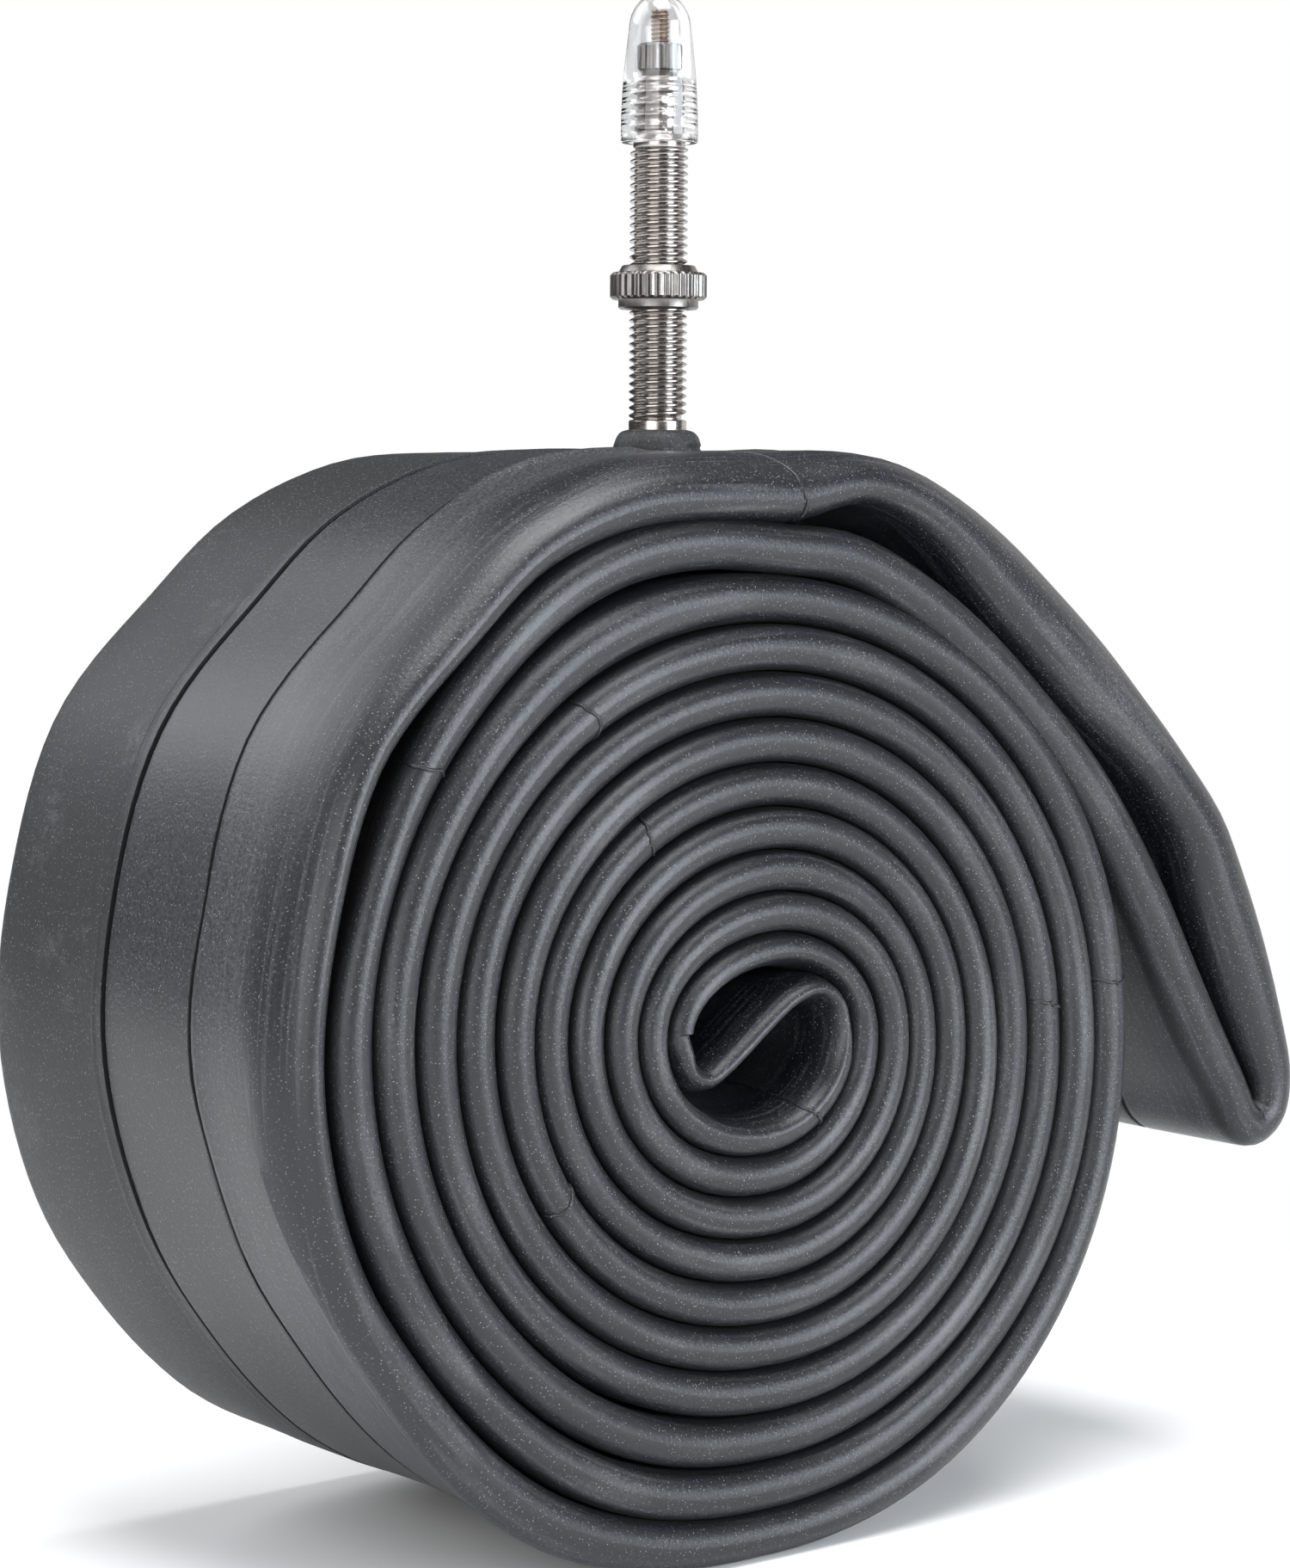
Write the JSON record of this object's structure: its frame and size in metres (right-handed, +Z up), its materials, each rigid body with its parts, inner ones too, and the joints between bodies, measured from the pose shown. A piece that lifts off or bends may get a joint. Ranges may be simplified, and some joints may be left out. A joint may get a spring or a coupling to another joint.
{
  "type": "bicycle inner tube",
  "caption": "Deflated bicycle inner tube, doubled and rolled up flat, with a slim valve standing on top: rim nut, pressable core with lock nut, and clear dust cap.",
  "frame": {"origin": "on the flattened patch that the roll rests on, below the valve's axis and half way along the roll", "axes": "+Z up, along the valve and out of its tip; +Y along the roll's axis; +X towards the flap that hangs off the roll"},
  "size_m": [0.129, 0.0522, 0.1522],
  "materials": {
    "butyl": "satin butyl rubber with a trace of talc",
    "foot_rubber": "matt moulded rubber",
    "nickel": "nickel-plated brass, satin",
    "brass": "bare brass, satin",
    "gasket_nylon": "nylon",
    "seal_rubber": "matt rubber",
    "clear_cap": "clear moulded plastic"
  },
  "bodies": {
    "rolled_tube": {"tube": "butyl", "valve_base": "foot_rubber", "valve_stem": "nickel"},
    "rim_nut": {"rim_nut": "nickel"},
    "valve_core": {"core_body": "nickel", "core_gasket": "gasket_nylon"},
    "pin": {"valve_pin": "brass", "pin_seal": "seal_rubber", "seal_cup": "brass"},
    "lock_nut": {"lock_nut": "nickel"},
    "dust_cap": {"dust_cap": "clear_cap"}
  },
  "joints": [
    {"name": "rim_nut_travel", "type": "slide", "parent": "rolled_tube", "child": "rim_nut", "axis": [0, 0, 1], "range_m": [-0.0118, 0.011]},
    {"name": "core_removal", "type": "slide", "parent": "rolled_tube", "child": "valve_core", "axis": [0, 0, 1], "range_m": [0, 0.016]},
    {"name": "pin_press", "type": "slide", "parent": "valve_core", "child": "pin", "axis": [0, 0, -1], "range_m": [0, 0.0015]},
    {"name": "lock_nut_travel", "type": "slide", "parent": "valve_core", "child": "lock_nut", "axis": [0, 0, 1], "range_m": [0, 0.0019]},
    {"name": "cap_removal", "type": "slide", "parent": "valve_core", "child": "dust_cap", "axis": [0, 0, 1], "range_m": [0, 0.016]}
  ]
}
